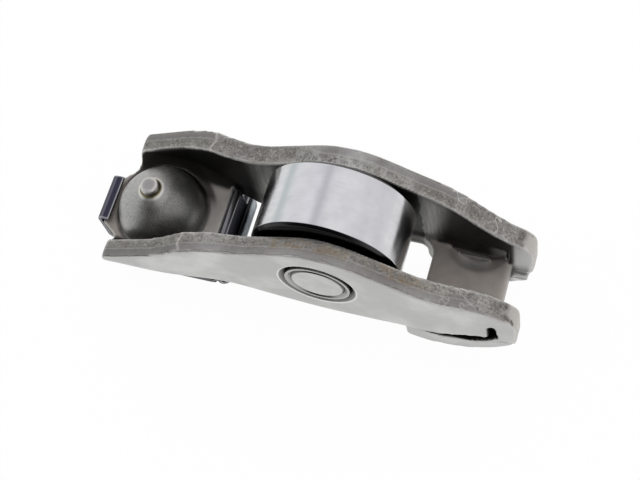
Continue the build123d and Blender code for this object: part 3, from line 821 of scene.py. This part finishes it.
@dataclass
class RetainingClip:
    """The folded clip of spring strip, with a scuff on the top of its fold."""

    voxel: float = 0.09 * MM
    smoothing_rounds: int = 2
    scuff: tuple[float, float] = (8.5, -3.2)

    def build(self) -> None:
        """Builds the clip and marks its cut edges."""
        piece = softened_copy("retaining_clip", "clip_strip", self.voxel, self.smoothing_rounds)
        x, y, z = (read_vectors(piece.data, "co") / MM).T
        scuff_x, scuff_y = self.scuff
        scuff = smoothstep(0.26, 0.18, abs(x - scuff_x)) * smoothstep(0.42, 0.34, abs(y - scuff_y))
        scuff *= smoothstep(0.0, 0.2, z)
        write_marks(piece, {"crest": np.maximum(crestness(piece.data, self.voxel), 0.3 * scuff)})
        put_material(piece, BluedSpringSteel().material())
        finish_piece(piece, Rider.ARM, Slot.SPRING_CLIP, "retaining_clip")


@dataclass
class Studio:
    """A pale floor that the arm rests on, soft lamps and a white surround."""

    floor_half: float = 1.2
    clip_reach_mm: float = 20.0
    gap_way: tuple[float, float, float] = (-0.15, -0.93, 0.33)

    def build(self) -> None:
        """Builds the floor, the lamps and the surround."""
        self.floor()
        self.lamp("overhead", (0.05, 0.30, 0.50), 0.5, 0.9)
        self.lamp("left", (-0.45, -0.05, 0.30), 0.4, 0.6)
        self.surround()

    def floor(self) -> None:
        """A plane under the clip and the lugs, which shows nearly white with a faint shadow."""
        slope, height = self.resting_line()
        shape = bmesh.new()
        bmesh.ops.create_grid(shape, x_segments=1, y_segments=1, size=self.floor_half)
        bmesh.ops.rotate(shape, verts=shape.verts, matrix=Matrix.Rotation(-math.atan(slope), 3, "Y"))
        bmesh.ops.translate(shape, verts=shape.verts, vec=(0, 0, height * MM))
        floor = new_piece("floor", shape)
        made = bpy.data.materials.new("white_card")
        made.use_nodes = True
        tree = made.node_tree
        tree.nodes.clear()
        path = add_node(tree, "ShaderNodeLightPath")
        seen = add_node(tree, "ShaderNodeMath", {"operation": "MAXIMUM"},
                        {0: path.outputs["Is Camera Ray"], 1: path.outputs["Is Glossy Ray"]})
        share = add_node(tree, "ShaderNodeMath", {"operation": "MULTIPLY", 1: 0.97}, {0: seen.outputs[0]})
        card = add_node(tree, "ShaderNodeBsdfDiffuse", {"Color": linear("#F0F0F0")})
        glow = add_node(tree, "ShaderNodeEmission", {"Color": (1, 1, 1, 1), "Strength": 1.0})
        both = add_node(tree, "ShaderNodeMixShader",
                        links={0: share.outputs[0], 1: card.outputs[0], 2: glow.outputs[0]})
        add_node(tree, "ShaderNodeOutputMaterial", links={"Surface": both.outputs[0]})
        put_material(floor, made)

    def resting_line(self) -> tuple[float, float]:
        """Finds the line that the clip and the lugs touch from above.

        Returns:
            The line's slope along X, and its height in millimetres at X = 0.
        """
        place = np.concatenate([read_vectors(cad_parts[node].data, "co")
                                for node in ("body", "retaining_clip")]) / MM
        x, z = place[:, 0], place[:, 2]
        at_clip = x < self.clip_reach_mm
        steep, flat = -1.0, 0.0
        for _ in range(40):
            slope = (steep + flat) / 2
            height = z - slope * x
            if height[at_clip].min() < height[~at_clip].min():
                steep = slope
            else:
                flat = slope
        return slope, height.min()

    def lamp(self, name: str, place: tuple[float, float, float], size: float, power: float) -> None:
        """One square soft lamp that points at the arm."""
        data = bpy.data.lights.new(name, "AREA")
        data.size = size
        data.energy = power
        lamp = bpy.data.objects.new(name, data)
        lamp.location = place
        lamp.visible_glossy = False
        aim = Vector((20 * MM, 0, 0)) - Vector(place)
        lamp.rotation_euler = aim.to_track_quat("-Z", "Y").to_euler()
        bpy.context.scene.collection.objects.link(lamp)

    def surround(self) -> None:
        """A white world for the camera, and for the metal a white tent with soft panels overhead."""
        world = bpy.data.worlds.new("surround")
        bpy.context.scene.world = world
        world.use_nodes = True
        tree = world.node_tree
        tree.nodes.clear()
        path = add_node(tree, "ShaderNodeLightPath")
        way = add_node(tree, "ShaderNodeTexCoord").outputs["Generated"]
        part = add_node(tree, "ShaderNodeSeparateXYZ", links={0: way})
        angle = add_node(tree, "ShaderNodeMath", {"operation": "ARCTAN2"},
                         {0: part.outputs[0], 1: part.outputs[2]})
        turn = add_node(tree, "ShaderNodeMapRange", {1: -math.pi, 2: math.pi}, {0: angle.outputs[0]})
        tent = add_node(tree, "ShaderNodeValToRGB", {"stops": (
            (0.20, "#D3DEDE"), (0.284, "#D6E0E0"), (0.305, "#FBFBFD"), (0.425, "#FBFAFF"), (0.452, "#CCCAD0"),
            (0.478, "#F6F5FA"), (0.52, "#FFFFFF"), (0.58, "#FAFAFD"), (0.64, "#F3F2F5"), (0.76, "#F0EFF1"),
            (0.80, "#FFFDF4"))}, {"Fac": turn.outputs[0]})
        toward = add_node(tree, "ShaderNodeVectorMath", {"operation": "DOT_PRODUCT", 1: self.gap_way}, {0: way})
        dim = add_node(tree, "ShaderNodeMapRange", {"interpolation_type": "SMOOTHSTEP", 1: 0.66, 2: 0.88,
                                                    3: 1.0, 4: 0.06}, {0: toward.outputs["Value"]})
        lit = add_node(tree, "ShaderNodeMix", {"data_type": "RGBA", "blend_type": "MULTIPLY", 0: 1.0},
                       {6: tent.outputs[0], 7: dim.outputs[0]})
        soft = add_node(tree, "ShaderNodeBackground", {"Strength": 1.0}, {"Color": lit.outputs[2]})
        white = add_node(tree, "ShaderNodeBackground", {"Color": (1, 1, 1, 1), "Strength": 1.0})
        both = add_node(tree, "ShaderNodeMixShader",
                        links={0: path.outputs["Is Camera Ray"], 1: soft.outputs[0], 2: white.outputs[0]})
        add_node(tree, "ShaderNodeOutputWorld", links={"Surface": both.outputs[0]})


@dataclass
class PhotoCamera:
    """The photograph's camera, in the arm's frame."""

    place_mm: tuple[float, float, float] = (60.58, -59.60, 145.59)
    right: tuple[float, float, float] = (0.94963, 0.27834, -0.14396)
    up: tuple[float, float, float] = (-0.19597, 0.88599, 0.42026)
    back: tuple[float, float, float] = (0.24453, -0.37088, 0.89592)
    lens_mm: float = 73.16
    sensor_mm: float = 36.0

    def build(self) -> None:
        """Builds the camera and makes it the scene's own."""
        data = bpy.data.cameras.new("photo_camera")
        data.lens = self.lens_mm
        data.sensor_width = self.sensor_mm
        data.clip_start = 10 * MM
        data.clip_end = 10.0
        camera = bpy.data.objects.new("photo_camera", data)
        turn = Matrix((self.right, self.up, self.back)).transposed().to_4x4()
        camera.matrix_world = Matrix.Translation(Vector(self.place_mm) * MM) @ turn
        bpy.context.scene.collection.objects.link(camera)
        bpy.context.scene.camera = camera


def main() -> None:
    """Builds the arm's pieces in order, then the studio and the camera."""
    logging.basicConfig(level=logging.INFO, format="%(message)s")
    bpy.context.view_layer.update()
    PressedBody().build()
    Roller().build()
    AxlePin().build()
    RetainingClip().build()
    Studio().build()
    PhotoCamera().build()
    bpy.context.scene.view_settings.view_transform = "Standard"


if __name__ == "__main__":
    main()
